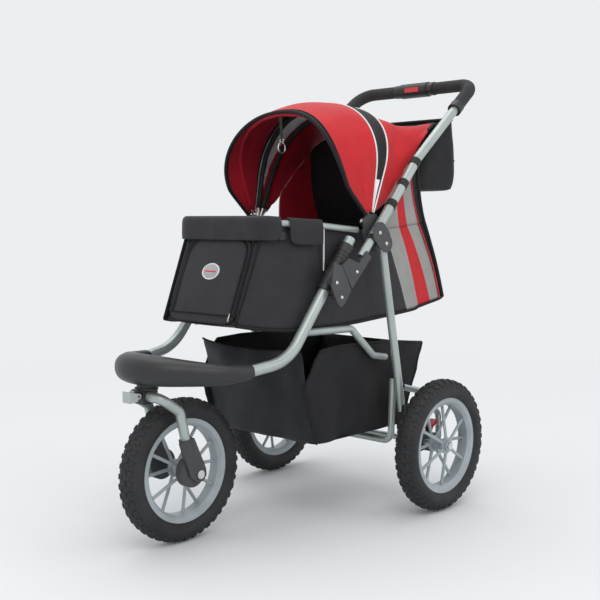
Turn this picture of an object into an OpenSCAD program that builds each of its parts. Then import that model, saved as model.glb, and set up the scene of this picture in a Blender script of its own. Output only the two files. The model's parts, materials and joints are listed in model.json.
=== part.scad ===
// Three-wheel pet stroller: folding tube frame, fabric cabin, canopy, rear bag and under-basket.
// Seen from behind it, +X is the stroller's left, +Y is its rear and +Z is up.

/* [Wheels] */
// Diameter over the tyres
wheel_d = 305; // [290:1:320]
// Width of each tyre
tyre_w = 54; // [46:1:56]
// Diameter of the rim at the tyre's edge
rim_d = 226; // [210:1:236]
// Spokes in each wheel, half from each hub flange
spoke_count = 12; // [8:2:16]
// Distance between the rear wheels' middle planes
track = 542; // [535:1:560]
// Distance from front axle to rear axle
wheelbase = 554; // [545:1:565]

/* [Frame] */
// Height of the handle bar's axis
handle_h = 1009; // [990:1:1030]
// Outer radius of the handle tube
handle_tube_r = 11; // [9:0.5:11]
// Outer radius of the front side tubes
front_tube_r = 12; // [10:0.5:12]
// Outer radius of the rear legs
leg_tube_r = 9.5; // [8:0.5:10]
// Wall of every tube
tube_wall = 1.5; // [1:0.1:2]
// Distance of the fold hinges from the middle plane
hinge_x = 205; // [204:0.5:207]

/* [Cabin] */
// Half width of the cabin over its side walls
cabin_half_w = 165; // [158:1:166]
// Height of the cabin floor above the ground
cabin_floor_z = 452; // [450:1:456]
// Thickness of the lined fabric walls
cloth_t = 4; // [3:0.5:5]
// Half width of the canopy's front bow
bow_half_w = 182; // [178:1:183]

/* [Hidden] */
$fn = 48;

// Materials' colours
silver = [0.62, 0.66, 0.64];
rim_grey = [0.55, 0.59, 0.61];
plastic = [0.16, 0.16, 0.17];
fabric = [0.15, 0.15, 0.17];
red = [0.78, 0.07, 0.10];

// Clearances
slip = 0.3;
running = 0.05;

// Places along the stroller, measured from the front axle and as [y, z]
wheel_r = wheel_d / 2;
handle_y = 818;
housing_r = 19;
mid_y = (handle_y + housing_r - wheel_r) / 2;
fold_pin = [395, 644.5];
leg_pin = [418, 620.5];
leg_foot = [494.5, 232];
canopy_pin = [402, 668];
steer_y = -86;
rear_axle = [wheelbase, wheel_r];

// Puts a shape that is drawn from the front axle into the stroller's own frame
module placed() {
    translate([0, -mid_y, 0])
        children();
}

// The same shape on the left and, mirrored, on the right
module both() {
    children();
    mirror([1, 0, 0])
        children();
}

// An outline in the side view, [y, z], with its thickness along x from x0 to x1
module side_slab(x0, x1) {
    translate([x0, 0, 0])
        rotate([90, 0, 90])
            linear_extrude(x1 - x0)
                children();
}

// Directions, bends and straight lengths of a tube's axis along the points p
function unit(v) = v / norm(v);
function along(p, i) = unit(p[i + 1] - p[i]);
function turn_at(p, i) = acos(min(1, along(p, i - 1) * along(p, i)));
function trim_at(p, i, bend) = i == 0 || i == len(p) - 1 ? 0 : bend * tan(turn_at(p, i) / 2);
function straight(p, i, bend) = norm(p[i + 1] - p[i]) - trim_at(p, i, bend) - trim_at(p, i + 1, bend);
function inward(p, i) =
    i == len(p) - 1 ? sideways(along(p, i - 1))
    : unit(along(p, i) - along(p, i - 1) * (along(p, i - 1) * along(p, i)));
function sideways(v) = unit(cross(v, abs(v[0]) > 0.9 ? [0, 0, 1] : [1, 0, 0]));
function roll_at(p, i) =
    let (
        before = inward(p, i) * cos(turn_at(p, i)) - along(p, i - 1) * sin(turn_at(p, i)),
        across = cross(along(p, i - 1), inward(p, i)),
        after = inward(p, i + 1)
    )
    atan2(after * across, after * before);

// Round bar from point a to point b
module rod(a, b, r) {
    d = b - a;
    translate(a)
        rotate([0, acos(d[2] / norm(d)), atan2(d[1], d[0])])
            cylinder(h = norm(d), r = r);
}

// How far a straight length runs into the next bend, and how much wider a bend is
lap = 0.4;
swell = 1.012;

// Stretch i of a bar that runs up z, then its bend towards x and the rest of the bar
module bar_from(p, i, r, bend, over) {
    length = straight(p, i, bend);
    start = i == 0 ? -over : -lap;
    finish = i == len(p) - 2 ? over : lap;
    translate([0, 0, start])
        cylinder(h = length + finish - start, r = r);
    if (i < len(p) - 2)
        translate([0, 0, length]) {
            turn = turn_at(p, i + 1);
            translate([bend, 0, 0])
                multmatrix([[-1, 0, 0, 0], [0, 0, 1, 0], [0, 1, 0, 0], [0, 0, 0, 1]])
                    rotate_extrude(angle = turn)
                        translate([bend, 0])
                            circle(r * swell);
            translate([bend, 0, 0])
                rotate([0, turn, 0])
                    translate([-bend, 0, 0])
                        rotate([0, 0, roll_at(p, i + 1)])
                            bar_from(p, i + 1, r, bend, over);
        }
}

// Round bar along the points p, bent at each inner point to the radius bend, and run past
// both ends by over
module bent_rod(p, r, bend, over = 0) {
    z = along(p, 0);
    x = inward(p, 1);
    y = cross(z, x);
    multmatrix([
        [x[0], y[0], z[0], p[0][0]],
        [x[1], y[1], z[1], p[0][1]],
        [x[2], y[2], z[2], p[0][2]],
        [0, 0, 0, 1]
    ])
        bar_from(p, 0, r, bend, over);
}

module bent_tube(p, r, bend) {
    difference() {
        bent_rod(p, r, bend);
        bent_rod(p, r - tube_wall, bend, 1);
    }
}

/* Front of the frame */

front_tube_x = 184;
front_path = [[front_tube_x, 334, 632], [front_tube_x, 137, 384], [158, 0, 366]];

function front_at(z) = front_path[1]
    + (front_path[0] - front_path[1]) * (z - front_path[1][2]) / (front_path[0][2] - front_path[1][2]);

module front_tube() {
    color(silver)
        placed()
            bent_tube(front_path, front_tube_r, 110);
}

module front_tube_left() {
    front_tube();
}

module front_tube_right() {
    mirror([1, 0, 0])
        front_tube();
}

// Middle line and half sizes of the moulded nose: [x, y, z, half width, half height]
bumper_stations = [
    [164, 48, 371, 15, 15],
    [154, -10, 370, 17, 18],
    [134, -52, 370, 23, 22],
    [98, -84, 372, 30, 26],
    [48, -100, 374, 38, 29],
    [0, -104, 374, 40, 29]
];

module bumper_lobe(s) {
    translate([s[0], s[1], s[2]])
        scale([s[3], s[3], s[4]])
            sphere(1, $fn = 20);
}

module bumper() {
    color(plastic)
        placed()
            difference() {
                both()
                    for (i = [0:len(bumper_stations) - 2])
                        hull() {
                            bumper_lobe(bumper_stations[i]);
                            bumper_lobe(bumper_stations[i + 1]);
                        }
                both()
                    bent_rod(front_path, front_tube_r + slip, 110, 1);
                translate([0, steer_y, 335])
                    cylinder(h = 32, r = 20.5);
            }
}

steer_pin_r = 6;

// Bearing housing of the swivel wheel, let into the nose from below
module steering_head() {
    color(plastic)
        placed()
            translate([0, steer_y, 338])
                difference() {
                    union() {
                        cylinder(h = 28, r = 20);
                        translate([0, 0, -3])
                            cylinder(h = 3, r = 24);
                    }
                    translate([0, 0, -4])
                        cylinder(h = 27, r = steer_pin_r + running);
                }
}

/* Fold latch beside the cabin */

sleeve_top = front_at(634);
sleeve_mid = front_at(578);
sleeve_low = front_at(522);
slider_travel = 12;

module latch_sleeves() {
    color(plastic)
        placed()
            both()
                difference() {
                    rod(sleeve_low, sleeve_mid, 17);
                    rod(front_at(500), front_at(600), front_tube_r + slip);
                }
}

// Spring-loaded collar that is pulled up the tube to let the frame fold
module latch_sliders() {
    slider_low = front_at(579);
    slider_top = front_at(617);
    color(plastic)
        placed()
            both()
                difference() {
                    union() {
                        rod(slider_low, slider_top, 16);
                        for (k = [1:3])
                            rod(front_at(579 + 7 * k), front_at(582 + 7 * k), 17);
                    }
                    rod(front_at(560), front_at(640), front_tube_r + slip);
                }
}

plate_x0 = hinge_x + 10.5;
plate_x1 = hinge_x + 14.5;
plate_rivets = [[250, 542], [266, 510], [316, 562]];

module leaf_outline() {
    polygon([[240, 585], [233, 535], [252, 497], [265, 489], [276, 498], [296, 524], [279, 556], [266, 577]]);
}

module link_outline() {
    polygon([[267, 578], [280, 557], [298, 527], [326, 553], [364, 591], [350, 606], [322, 580], [290, 592]]);
}

// Pressed plates beside the sleeve, on bosses that reach in to it
module latch_plates() {
    color(plastic)
        placed()
            both()
                difference() {
                    union() {
                        side_slab(plate_x0, plate_x1) {
                            leaf_outline();
                            link_outline();
                        }
                        side_slab(front_at(540)[0] + 10, plate_x0 + 1)
                            for (at = plate_rivets)
                                translate(at)
                                    circle(7);
                    }
                    rod(front_at(480), front_at(631), 17.2);
                }
}

handle_lean = 46;
strut_r = 9.5;

// Lower stretch of the handle's line, from the latch plates up to the hinge cheeks
module latch_struts() {
    down = [cos(handle_lean), sin(handle_lean)];
    near = fold_pin - down * 25;
    far = fold_pin - down * 72;
    color(silver)
        placed()
            both()
                bent_tube([[hinge_x, near[0], near[1]], [hinge_x, far[0], far[1]]], strut_r, 0);
}

/* Fold hinge */

hinge_in = hinge_x - 17.5;
hinge_out = hinge_x + 14.5;

module hinge_outline() {
    translate(fold_pin)
        circle(24);
    translate(leg_pin)
        circle(20);
    translate((fold_pin + leg_pin) / 2)
        circle(24.5);
}

// Two cheeks with the pins that the handle, the leg and the canopy bows turn on
module hinge_plate() {
    color(plastic)
        placed() {
            side_slab(hinge_out - 3, hinge_out)
                hinge_outline();
            side_slab(hinge_in, hinge_in + 3)
                hinge_outline();
            side_slab(hinge_in + 2, hinge_out - 2) {
                translate(fold_pin)
                    circle(5);
                translate(leg_pin)
                    circle(5);
            }
            side_slab(hinge_in + 0.8, hinge_in + 3)
                polygon([[380, 640], [368, 670], [384, 686], [416, 686], [426, 674], [412, 640]]);
            side_slab(163, hinge_in + 1)
                translate(canopy_pin)
                    circle(4);
            side_slab(161.5, 163.5)
                translate(canopy_pin)
                    circle(8);
        }
}

module hinge_plate_left() {
    hinge_plate();
}

module hinge_plate_right() {
    mirror([1, 0, 0])
        hinge_plate();
}

/* Bars round the cabin */

bar_x = 173;
bar_r = 8;

module side_bars() {
    color(silver)
        placed()
            both()
                bent_tube(
                    [[bar_x, 198, 437], [bar_x, 350, 433], [bar_x, 428, 365], [bar_x, 472, 357]],
                    bar_r, 24
                );
}

rail_r = 7;
rail_path = [
    [174, 368, 651], [174, 256, 661], [124, 127, 670],
    [-124, 127, 670], [-174, 256, 661], [-174, 368, 651]
];

module top_rail() {
    color(silver)
        placed()
            bent_tube(rail_path, rail_r, 20);
}

module rail_posts() {
    color(silver)
        placed()
            both()
                rod([174, 258, 653.6], [174, 258, 566], 2.5);
}

module rivet(x, at, r) {
    translate([x, at[0], at[1]])
        rotate([0, 90, 0])
            cylinder(h = 2, r1 = r, r2 = r * 0.6);
}

module frame_rivets() {
    color(silver)
        placed()
            both() {
                for (at = [fold_pin, leg_pin])
                    rivet(hinge_out, at, 4.5);
                for (at = plate_rivets)
                    rivet(plate_x1, at, 4);
            }
}

/* Cabin */

// Corners of the cabin's outline: at the floor and at the rail, [x, y, z]
front_low = [112, 55, 459];
front_high = [119, 136, 664];
corner_low = [cabin_half_w, 155, cabin_floor_z];
corner_high = [cabin_half_w, 255, 656];
wall_x = cabin_half_w - cloth_t;
front_lean = atan((front_high[1] - front_low[1]) / (front_high[2] - front_low[2]));
front_h = norm([front_high[1] - front_low[1], front_high[2] - front_low[2]]);
side_outline = [
    [corner_low[1], corner_low[2]], [520, cabin_floor_z - 2], [700, 480], [640, 575],
    [606, 666], [420, 648], [corner_high[1], corner_high[2]]
];

// Side wall with its slanting front corner, in one piece of cloth
module cabin_side() {
    inner = [-cloth_t * 0.8, cloth_t, 0];
    outer_face = [front_low, corner_low, corner_high, front_high];
    inner_face = [for (p = outer_face) p + (p[0] > wall_x ? [-cloth_t, 0, 0] : inner)];
    color(fabric)
        placed() {
            side_slab(wall_x, cabin_half_w)
                polygon(side_outline);
            polyhedron(
                points = concat(outer_face, inner_face),
                faces = [
                    [0, 2, 1], [0, 3, 2], [4, 5, 6], [4, 6, 7],
                    [1, 5, 4], [1, 4, 0], [2, 6, 5], [2, 5, 1],
                    [3, 7, 6], [3, 6, 2], [0, 4, 7], [0, 7, 3]
                ]
            );
        }
}

module cabin_side_left() {
    cabin_side();
}

module cabin_side_right() {
    mirror([1, 0, 0])
        cabin_side();
}

// Draws on the leaning front: x across, y up the slope, z forward
module on_front() {
    translate([0, front_low[1], front_low[2]])
        rotate([90 - front_lean, 0, 0])
            children();
}

door_half_w = 92;
door_low = 16;
door_h = 168;
door_corner = 36;

module door_outline() {
    translate([-door_half_w, door_low])
        square([2 * door_half_w, door_h - door_corner]);
    translate([-door_half_w + door_corner, door_low])
        square([2 * (door_half_w - door_corner), door_h]);
    for (x = [-1, 1])
        translate([x * (door_half_w - door_corner), door_low + door_h - door_corner])
            circle(door_corner);
}

module cabin_front() {
    color(fabric)
        placed()
            on_front()
                translate([0, 0, -cloth_t])
                    difference() {
                        linear_extrude(cloth_t)
                            polygon([
                                [4 - front_low[0], 0], [front_low[0] - 4, 0],
                                [front_high[0] - 4, front_h], [4 - front_high[0], front_h]
                            ]);
                        translate([0, 0, -1])
                            linear_extrude(cloth_t + 2)
                                scale([(door_half_w + 1.2) / door_half_w, 1 + 1.2 / door_h])
                                    door_outline();
                    }
}

// Zipped door of the cabin's front, hinged along its lower edge
module front_door() {
    color(fabric)
        placed()
            on_front()
                translate([0, 1, -cloth_t + 0.5])
                    linear_extrude(cloth_t - 1)
                        intersection() {
                            door_outline();
                            translate([-door_half_w, door_low + 0.8])
                                square([2 * door_half_w, door_h]);
                        }
}

floor_outline = [
    [front_low[0] - 4, 62], [wall_x - 0.5, corner_low[1] + 6], [wall_x - 0.5, 519],
    [0.5 - wall_x, 519], [0.5 - wall_x, corner_low[1] + 6], [4 - front_low[0], 62]
];

// Stiff base board of the cabin, rising to the back wall
module cabin_floor() {
    color(fabric)
        placed() {
            translate([0, 0, cabin_floor_z + 7])
                linear_extrude(5)
                    polygon(floor_outline);
            rotate([90, 0, 90])
                translate([0, 0, 0.5 - wall_x])
                    linear_extrude(2 * wall_x - 1)
                        polygon([
                            [515, cabin_floor_z + 7], [690, 482], [688, 487.5],
                            [515, cabin_floor_z + 12]
                        ]);
        }
}

module cabin_mat() {
    color(fabric)
        placed()
            translate([0, 0, cabin_floor_z + 12.2])
                linear_extrude(16)
                    offset(-14)
                        polygon(floor_outline);
}

module cabin_back() {
    color(fabric)
        placed()
            side_slab(0.5 - wall_x, wall_x - 0.5)
                polygon([[690, 488], [700, 482.5], [640, 575], [606, 666], [601, 665], [635, 573]]);
}

flap_in = rail_r + 0.6;
flap_out = rail_r + 3.6;

// Cloth folded over a rail that runs up z, hanging in +x on its -y side
module folded_flap(width, drop, corner) {
    difference() {
        cylinder(h = width, r = flap_out, center = true);
        cylinder(h = width + 2, r = flap_in, center = true);
        translate([0, -flap_out - 1, -width / 2 - 1])
            cube([flap_out + 1, 2 * flap_out + 2, width + 2]);
    }
    translate([-0.5, -flap_in, 0])
        rotate([90, 0, 0])
            linear_extrude(flap_out - flap_in) {
                translate([0, -width / 2])
                    square([drop - corner, width]);
                translate([0, -width / 2 + corner])
                    square([drop, width - 2 * corner]);
                for (y = [-1, 1])
                    translate([drop - corner, y * (width / 2 - corner)])
                        circle(corner);
            }
}

// Flap folded over the front rail and the two rounded ones over its slanting corners
module top_flaps() {
    corner_rail = rail_path[1] - rail_path[2];
    middle = (rail_path[1] + rail_path[2]) / 2;
    color(fabric)
        placed() {
            translate([0, rail_path[2][1], rail_path[2][2]])
                rotate([0, 90, 0])
                    folded_flap(200, 36, 8);
            both()
                translate(middle)
                    rotate([0, acos(unit(corner_rail)[2]), atan2(corner_rail[1], corner_rail[0])])
                        folded_flap(62, 40, 14);
        }
}

module buckles() {
    color(plastic)
        placed()
            both()
                translate([131, 140, 640])
                    rotate([0, 0, 68])
                        cube([26, 7, 16], center = true);
}

/* Under-basket */

basket_outline = [[200, 400], [245, 190], [540, 188], [590, 285], [626, 372], [560, 396], [360, 388]];

module basket() {
    color(fabric)
        placed()
            difference() {
                side_slab(-163, 163)
                    polygon(basket_outline);
                translate([-160, 0, 0])
                    rotate([90, 0, 90])
                        linear_extrude(320)
                            polygon([
                                [204, 410], [248, 193], [538, 191], [587, 286], [622, 373], [622, 410]
                            ]);
            }
}

/* Rear of the cabin above the rail, and the roof to the bag */

module rear_hood() {
    color(red)
        placed() {
            both()
                side_slab(168, 171)
                    polygon([[452, 668.5], [470, 700], [548, 802], [572, 830], [585, 742], [600, 668.5]]);
            side_slab(-167.5, 167.5)
                polygon([[597, 668.5], [600, 668.5], [585, 742], [572, 830], [569, 830], [582, 742]]);
        }
}

roof_points = [[513, 934], [548, 908], [590, 896], [650, 898], [700, 906]];

module roof_flap() {
    color(red)
        placed() {
            both()
                side_slab(171.8, 174.5)
                    polygon([[434, 738], [464, 804], [534, 806], [462, 716]]);
            rotate([90, 0, 90])
                translate([0, 0, -138])
                    linear_extrude(276)
                        polygon(concat(
                            roof_points,
                            [for (i = [len(roof_points) - 1:-1:0]) roof_points[i] + [0, 3]]
                        ));
        }
}

/* Canopy */

// Half outline of a bow: from its pivot up to r and over the top, [x, r]
bow_shoulder = 0.42;
function bow_point(half_w, top, a) =
    a < 0 ? [half_w, top * bow_shoulder * (1 + a)]
    : [half_w * pow(cos(a), 0.9), top * (bow_shoulder + (1 - bow_shoulder) * pow(sin(a), 0.95))];
function bow_path(half_w, top, steps) = [
    for (i = [0:steps])
        bow_point(half_w, top, i * 90 / steps)
];

// Turns [x, r] in the plane of a bow that leans forward by lean degrees into [x, y, z]
function on_bow(p, lean) = [
    p[0], canopy_pin[0] - p[1] * sin(lean), canopy_pin[1] + p[1] * cos(lean)
];

bow_r = 3;
front_lean_deg = 21;
mid_lean_deg = -9;
rear_lean_deg = -22;
front_top = 262;
mid_top = 276;
rear_top = 288;

// Steel wire bow with a flat eye on each canopy pin
module bow(half_w, top, lean) {
    half = concat([[half_w, 8]], bow_path(half_w, top, 5));
    last = len(half) - 2;
    path = concat(
        [for (p = half) on_bow(p, lean)],
        [for (i = [last:-1:0]) on_bow([-half[i][0], half[i][1]], lean)]
    );
    color(silver)
        placed() {
            bent_rod(path, bow_r, 45);
            both()
                side_slab(half_w - bow_r - 0.5, half_w + bow_r + 0.5)
                    difference() {
                        translate(canopy_pin)
                            circle(11);
                        translate(canopy_pin)
                            circle(4 + running);
                    }
        }
}

module rear_bow() {
    bow(bow_half_w - 14, rear_top, rear_lean_deg);
}

module mid_bow() {
    bow(bow_half_w - 7, mid_top, mid_lean_deg);
}

module front_bow() {
    bow(bow_half_w, front_top, front_lean_deg);
}

// The canopy's leans from its front edge back to the rear bow, with its top radius at each
canopy_leans = [22, 17, 11, 4, -3, -9, -16, -22];
function canopy_top(lean) =
    lean > mid_lean_deg
    ? mid_top + (front_top - mid_top) * (lean - mid_lean_deg) / (front_lean_deg - mid_lean_deg)
    : rear_top + (mid_top - rear_top) * (lean - rear_lean_deg) / (mid_lean_deg - rear_lean_deg);
canopy_steps = 20;
// The lower part of the front edge reaches forward of the front bow, by so many degrees
function flare(r, lean) = 25 * max(0, min(1, (lean - 4) / 14)) * max(0, min(1, (264 - r) / 157));
// Lower end of the cloth, as a radius from the canopy pins
cloth_low = 22;
function canopy_ring(out, lean) = [
    for (i = [-canopy_steps:canopy_steps])
        let (a = 90 - abs(i) * 110 / canopy_steps)
        let (p = a >= 0
            ? bow_point(bow_half_w + out, canopy_top(lean) + out, a)
            : [bow_half_w + out, cloth_low + (canopy_top(lean) * bow_shoulder - cloth_low) * (1 + a / 20)])
        on_bow([i < 0 ? -p[0] : p[0], p[1]], lean + flare(p[1], lean))
];

// One sheet of cloth over the three bows
module canopy_cover() {
    rings = len(canopy_leans);
    n = 2 * canopy_steps + 1;
    inner = bow_r + 0.6;
    outer = bow_r + 2.6;
    points = concat(
        [for (lean = canopy_leans) each canopy_ring(inner, lean)],
        [for (lean = canopy_leans) each canopy_ring(outer, lean)]
    );
    skin = rings * n;
    faces = concat(
        [for (j = [0:rings - 2], i = [0:n - 2])
            each [
                [j * n + i, j * n + i + 1, (j + 1) * n + i + 1],
                [j * n + i, (j + 1) * n + i + 1, (j + 1) * n + i]
            ]],
        [for (j = [0:rings - 2], i = [0:n - 2])
            each [
                [skin + (j + 1) * n + i + 1, skin + j * n + i + 1, skin + j * n + i],
                [skin + (j + 1) * n + i, skin + (j + 1) * n + i + 1, skin + j * n + i]
            ]],
        [for (i = [0:n - 2])
            each [
                [skin + i, skin + i + 1, i + 1], [skin + i, i + 1, i],
                [(rings - 1) * n + i, (rings - 1) * n + i + 1, skin + (rings - 1) * n + i + 1],
                [(rings - 1) * n + i, skin + (rings - 1) * n + i + 1, skin + (rings - 1) * n + i]
            ]],
        [for (j = [0:rings - 2])
            each [
                [j * n, (j + 1) * n, skin + (j + 1) * n], [j * n, skin + (j + 1) * n, skin + j * n],
                [(j + 1) * n + n - 1, j * n + n - 1, skin + j * n + n - 1],
                [(j + 1) * n + n - 1, skin + j * n + n - 1, skin + (j + 1) * n + n - 1]
            ]]
    );
    color(red)
        placed()
            polyhedron(points, faces);
}

// Tether inside the canopy's front edge, which hangs free with a snap hook on it
leash_top = on_bow([0, front_top - 0.7], front_lean_deg) - [0, 0, bow_r + 0.8];
leash_points = [[0, 0], [0, -14], [1, -28], [2, -42], [3, -56]];

module leash_strap() {
    sides = 8;
    rings = len(leash_points);
    points = [
        for (p = leash_points, k = [0:sides - 1])
            leash_top + [5 * cos(k * 45 + 22.5), p[0] + 1.2 * sin(k * 45 + 22.5), p[1]]
    ];
    color(plastic)
        placed()
            polyhedron(
                points,
                concat(
                    [[for (k = [sides - 1:-1:0]) k], [for (k = [0:sides - 1]) (rings - 1) * sides + k]],
                    [for (j = [0:rings - 2], k = [0:sides - 1])
                        each [
                            [j * sides + k, j * sides + (k + 1) % sides, (j + 1) * sides + k],
                            [
                                j * sides + (k + 1) % sides, (j + 1) * sides + (k + 1) % sides,
                                (j + 1) * sides + k
                            ]
                        ]]
                )
            );
}

module leash_hook() {
    color(silver)
        placed()
            translate(leash_top + [0, 3, -71])
                rotate([0, 90, 0])
                    difference() {
                        cylinder(h = 4, r = 14, center = true);
                        cylinder(h = 6, r = 10, center = true);
                    }
}

/* Handle */

handle_kink = [563, 815];
handle_end = [handle_y, handle_h];
handle_top_x = 180;
corner_r = 42;
handle_kink_x = 195;
handle_path = [
    [hinge_x, fold_pin[0] - 12 * cos(handle_lean), fold_pin[1] - 12 * sin(handle_lean)],
    [handle_kink_x, handle_kink[0], handle_kink[1]],
    [handle_top_x, handle_end[0], handle_end[1]],
    [-handle_top_x, handle_end[0], handle_end[1]],
    [-handle_kink_x, handle_kink[0], handle_kink[1]],
    [-hinge_x, fold_pin[0] - 12 * cos(handle_lean), fold_pin[1] - 12 * sin(handle_lean)]
];

// One bent tube from hinge to hinge, bored for the fold pins
module handle_tube() {
    color(silver)
        placed()
            difference() {
                bent_tube(handle_path, handle_tube_r, corner_r);
                side_slab(-hinge_x - 20, hinge_x + 20)
                    translate(fold_pin)
                        circle(5 + running);
            }
}

foam_r = 15.5;
foam_half_gap = 62;

// Point on the handle's upper side stretch, part of the way from the kink to the corner
function side_at(t) = handle_path[1] + (handle_path[2] - handle_path[1]) * t;

module foam_grips() {
    start = side_at(0.70);
    color(plastic)
        placed()
            both()
                difference() {
                    bent_rod([start, handle_path[2], [foam_half_gap, handle_y, handle_h]], foam_r, corner_r);
                    bent_rod(
                        [side_at(0.5), handle_path[2], [foam_half_gap - 5, handle_y, handle_h]],
                        handle_tube_r + 0.1, corner_r
                    );
                }
}

button_w = 44;
button_travel = 3;

// Split moulding round the middle of the bar, with a slot for the release button
module handle_housing() {
    color(plastic)
        placed()
            translate([0, handle_y, handle_h])
                difference() {
                    rotate([0, 90, 0]) {
                        cylinder(h = 2 * foam_half_gap - 1, r = 17, center = true);
                        cylinder(h = 84, r = housing_r, center = true);
                    }
                    rotate([0, 90, 0])
                        cylinder(h = 2 * foam_half_gap + 2, r = handle_tube_r + 0.1, center = true);
                    translate([-button_w / 2 - 0.3, -housing_r - 1, -6.3])
                        cube([button_w + 0.6, 7.9, 12.6]);
                }
}

// Red release button in the front of the housing
module fold_button() {
    color(red)
        placed()
            translate([0, handle_y - housing_r + 4.3 - 3.4, handle_h])
                for (x = [-1, 0, 1])
                    translate([x * button_w / 3.02, 0, 0])
                        cube([button_w / 3.02, 5, 12], center = true);
}

bag_half_w = 160;
bag_outline = [[604, 744], [781, 753], [765, 921], [700, 902], [640, 893]];

module rear_bag() {
    color(plastic)
        placed()
            difference() {
                side_slab(-bag_half_w, bag_half_w)
                    polygon(bag_outline);
                translate([-bag_half_w + 3, 0, 0])
                    rotate([90, 0, 90])
                        linear_extrude(2 * bag_half_w - 6)
                            polygon([[608, 747], [778, 756], [761, 940], [640, 940], [630, 850]]);
            }
}

// Clamps that hang the bag's rear corners from the handle
module bag_clamps() {
    color(plastic)
        placed()
            both()
                difference() {
                    rod(side_at(0.63), side_at(0.695), 17);
                    rod(side_at(0.5), side_at(0.8), handle_tube_r + 0.1);
                }
}

function lower_at(t) = handle_path[0] + (handle_path[1] - handle_path[0]) * t;

// Webbing loops that tie the cloth to the handle tube
module tube_straps() {
    color(plastic)
        placed()
            both()
                for (t = [0.36, 0.62, 0.9])
                    difference() {
                        rod(lower_at(t), lower_at(t + 0.07), handle_tube_r + 1.6);
                        rod(lower_at(0.2), lower_at(1.0), handle_tube_r + 0.1);
                    }
}

/* Rear legs and axles */

module leg() {
    color(silver)
        placed()
            difference() {
                bent_tube(
                    [
                        [hinge_x, leg_pin[0] - 1.6, leg_pin[1] + 8],
                        [hinge_x, leg_foot[0], leg_foot[1]]
                    ],
                    leg_tube_r, 0
                );
                side_slab(hinge_x - 20, hinge_x + 20)
                    translate(leg_pin)
                        circle(5 + running);
            }
}

module leg_left() {
    leg();
}

module leg_right() {
    mirror([1, 0, 0])
        leg();
}

axle_tube_x = hinge_x - 19;
axle_tube_path = [
    [axle_tube_x, 484, 306], [axle_tube_x, 478, 160],
    [-axle_tube_x, 478, 160], [-axle_tube_x, 484, 306]
];

// Cross tube between the legs, under the basket
module axle_tube() {
    color(silver)
        placed()
            bent_tube(axle_tube_path, 8, 22);
}

hoop_path = [
    [hinge_x, 497, 287], [hinge_x, 560, 270], [hinge_x, 640, 204], [hinge_x, 641, 127],
    [-hinge_x, 641, 127], [-hinge_x, 640, 204], [-hinge_x, 560, 270], [-hinge_x, 497, 287]
];

// Hoop behind the legs that steadies the axles
module rear_hoop() {
    color(silver)
        placed()
            bent_tube(hoop_path, 7.5, 24);
}

axle_r = 6;
bracket_in = hinge_x - 10.4;
bracket_out = hinge_x + 13;
pedal_pin = [600, 175];

// Moulded foot of a leg, with the axle's boss and the brake's arm
module axle_bracket() {
    foot_dir = unit(leg_foot - leg_pin);
    color(plastic)
        placed()
            difference() {
                union() {
                    side_slab(bracket_in, bracket_out) {
                        polygon([
                            [485, 246], [507, 249], [520, 200], [560, 178], [590, 166], [622, 160],
                            [626, 128], [600, 118], [570, 128], [540, 130], [512, 150], [489, 190]
                        ]);
                        translate(rear_axle)
                            circle(25);
                    }
                    side_slab(hinge_x - 3, hinge_x + 3)
                        polygon([[588, 160], [594, 180], [606, 180], [612, 158]]);
                    side_slab(hinge_x - 9, hinge_x + 9)
                        translate(pedal_pin)
                            circle(2.5);
                }
                rod(
                    [hinge_x, leg_foot[0] - 40 * foot_dir[0], leg_foot[1] - 40 * foot_dir[1]],
                    [hinge_x, leg_foot[0] + 0.3 * foot_dir[0], leg_foot[1] + 0.3 * foot_dir[1]],
                    leg_tube_r + 0.1
                );
                side_slab(bracket_in - 1, bracket_out + 1)
                    translate(rear_axle)
                        circle(axle_r + 0.1);
            }
}

module axle_bracket_left() {
    axle_bracket();
}

module axle_bracket_right() {
    mirror([1, 0, 0])
        axle_bracket();
}

half_track = track / 2;

// Stub axles with a head inboard of the bracket and a nut outside the hub
module rear_axles() {
    color(silver)
        placed()
            both() {
                side_slab(bracket_in - 4, bracket_in)
                    translate(rear_axle)
                        circle(10);
                side_slab(bracket_in - 1, half_track + 30)
                    translate(rear_axle)
                        circle(axle_r);
                side_slab(half_track + 26.5, half_track + 30)
                    translate(rear_axle)
                        circle(9, $fn = 6);
            }
}

// Red step that locks the wheel beside it
module brake_pedal() {
    color(red)
        placed()
            difference() {
                union() {
                    side_slab(hinge_x - 9, hinge_x + 9) {
                        translate(pedal_pin)
                            circle(6);
                        polygon([[598, 181], [600, 170], [606, 175], [624, 186], [622, 193]]);
                    }
                }
                side_slab(hinge_x - 3.3, hinge_x + 3.3)
                    translate(pedal_pin)
                        circle(12);
                side_slab(hinge_x - 10, hinge_x + 10)
                    translate(pedal_pin)
                        circle(2.5 + running);
            }
}

module brake_pedal_left() {
    brake_pedal();
}

module brake_pedal_right() {
    mirror([1, 0, 0])
        brake_pedal();
}

/* Wheels */

rim_r = rim_d / 2;
rim_half_w = 18;
ring_in = rim_r - 19;
flange_x = 17;
hub_half = 26;

// Turns a shape that is drawn round the z axis to lie round an axle along x
module on_axle(centre) {
    translate(centre)
        rotate([0, 90, 0])
            children();
}

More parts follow.
